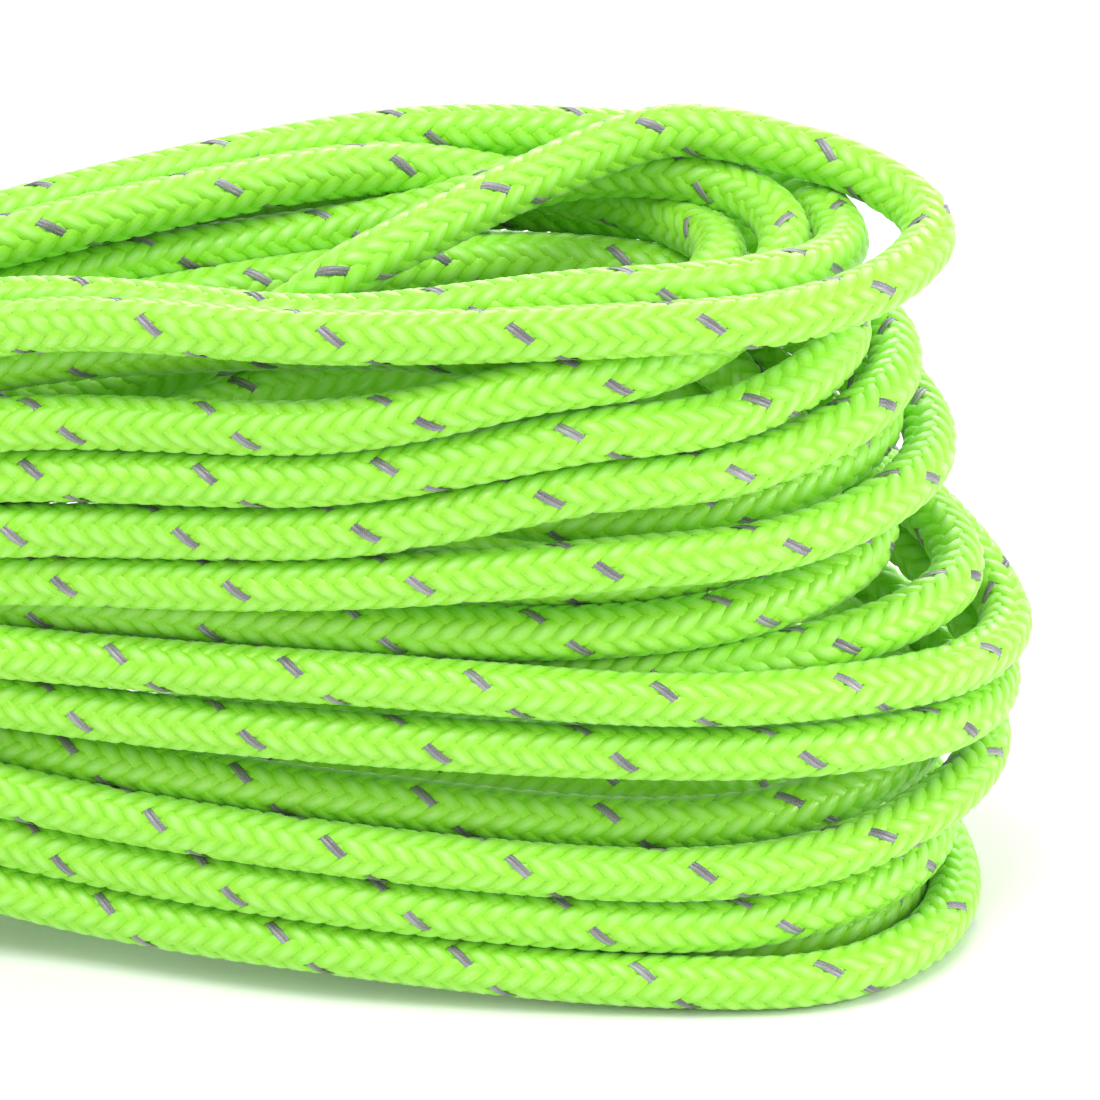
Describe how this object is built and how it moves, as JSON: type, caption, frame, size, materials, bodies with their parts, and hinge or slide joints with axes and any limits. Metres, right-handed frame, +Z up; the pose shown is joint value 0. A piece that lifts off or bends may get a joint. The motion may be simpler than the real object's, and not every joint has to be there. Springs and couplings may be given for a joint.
{
  "type": "accessory cord hank",
  "caption": "Thin braided accessory cord with a reflective tracer, wound in long loops and tied round the waist with its own turns.",
  "frame": {"origin": "centre of the hank's bounding box at the surface it rests on", "axes": "+X along the hank from loop to loop, +Z up, -Y the front"},
  "size_m": [0.238, 0.0436, 0.055],
  "materials": {
    "cord_sheath": "braided polyester, satin, fluorescent yellow-green",
    "reflective_tracer": "flat silver-grey retroreflective ribbon yarn",
    "core_yarn": "twisted polyamide, undyed",
    "sealed_tip": "heat-melted sheath and core"
  },
  "bodies": {
    "root": {"right_loops": "cord_sheath", "left_loops": "cord_sheath", "waist_strands": "cord_sheath", "wrap_turns": "cord_sheath", "front_tail": "cord_sheath", "front_sheath_end": "cord_sheath", "front_sealed_tip": "sealed_tip", "back_tail": "cord_sheath", "back_sheath_end": "cord_sheath", "back_sealed_tip": "sealed_tip", "front_core_yarn_1": "core_yarn", "front_core_yarn_2": "core_yarn", "front_core_yarn_3": "core_yarn", "front_core_yarn_4": "core_yarn", "front_core_yarn_5": "core_yarn", "front_core_yarn_6": "core_yarn", "front_core_yarn_7": "core_yarn", "back_core_yarn_1": "core_yarn", "back_core_yarn_2": "core_yarn", "back_core_yarn_3": "core_yarn", "back_core_yarn_4": "core_yarn", "back_core_yarn_5": "core_yarn", "back_core_yarn_6": "core_yarn", "back_core_yarn_7": "core_yarn"}
  },
  "joints": []
}
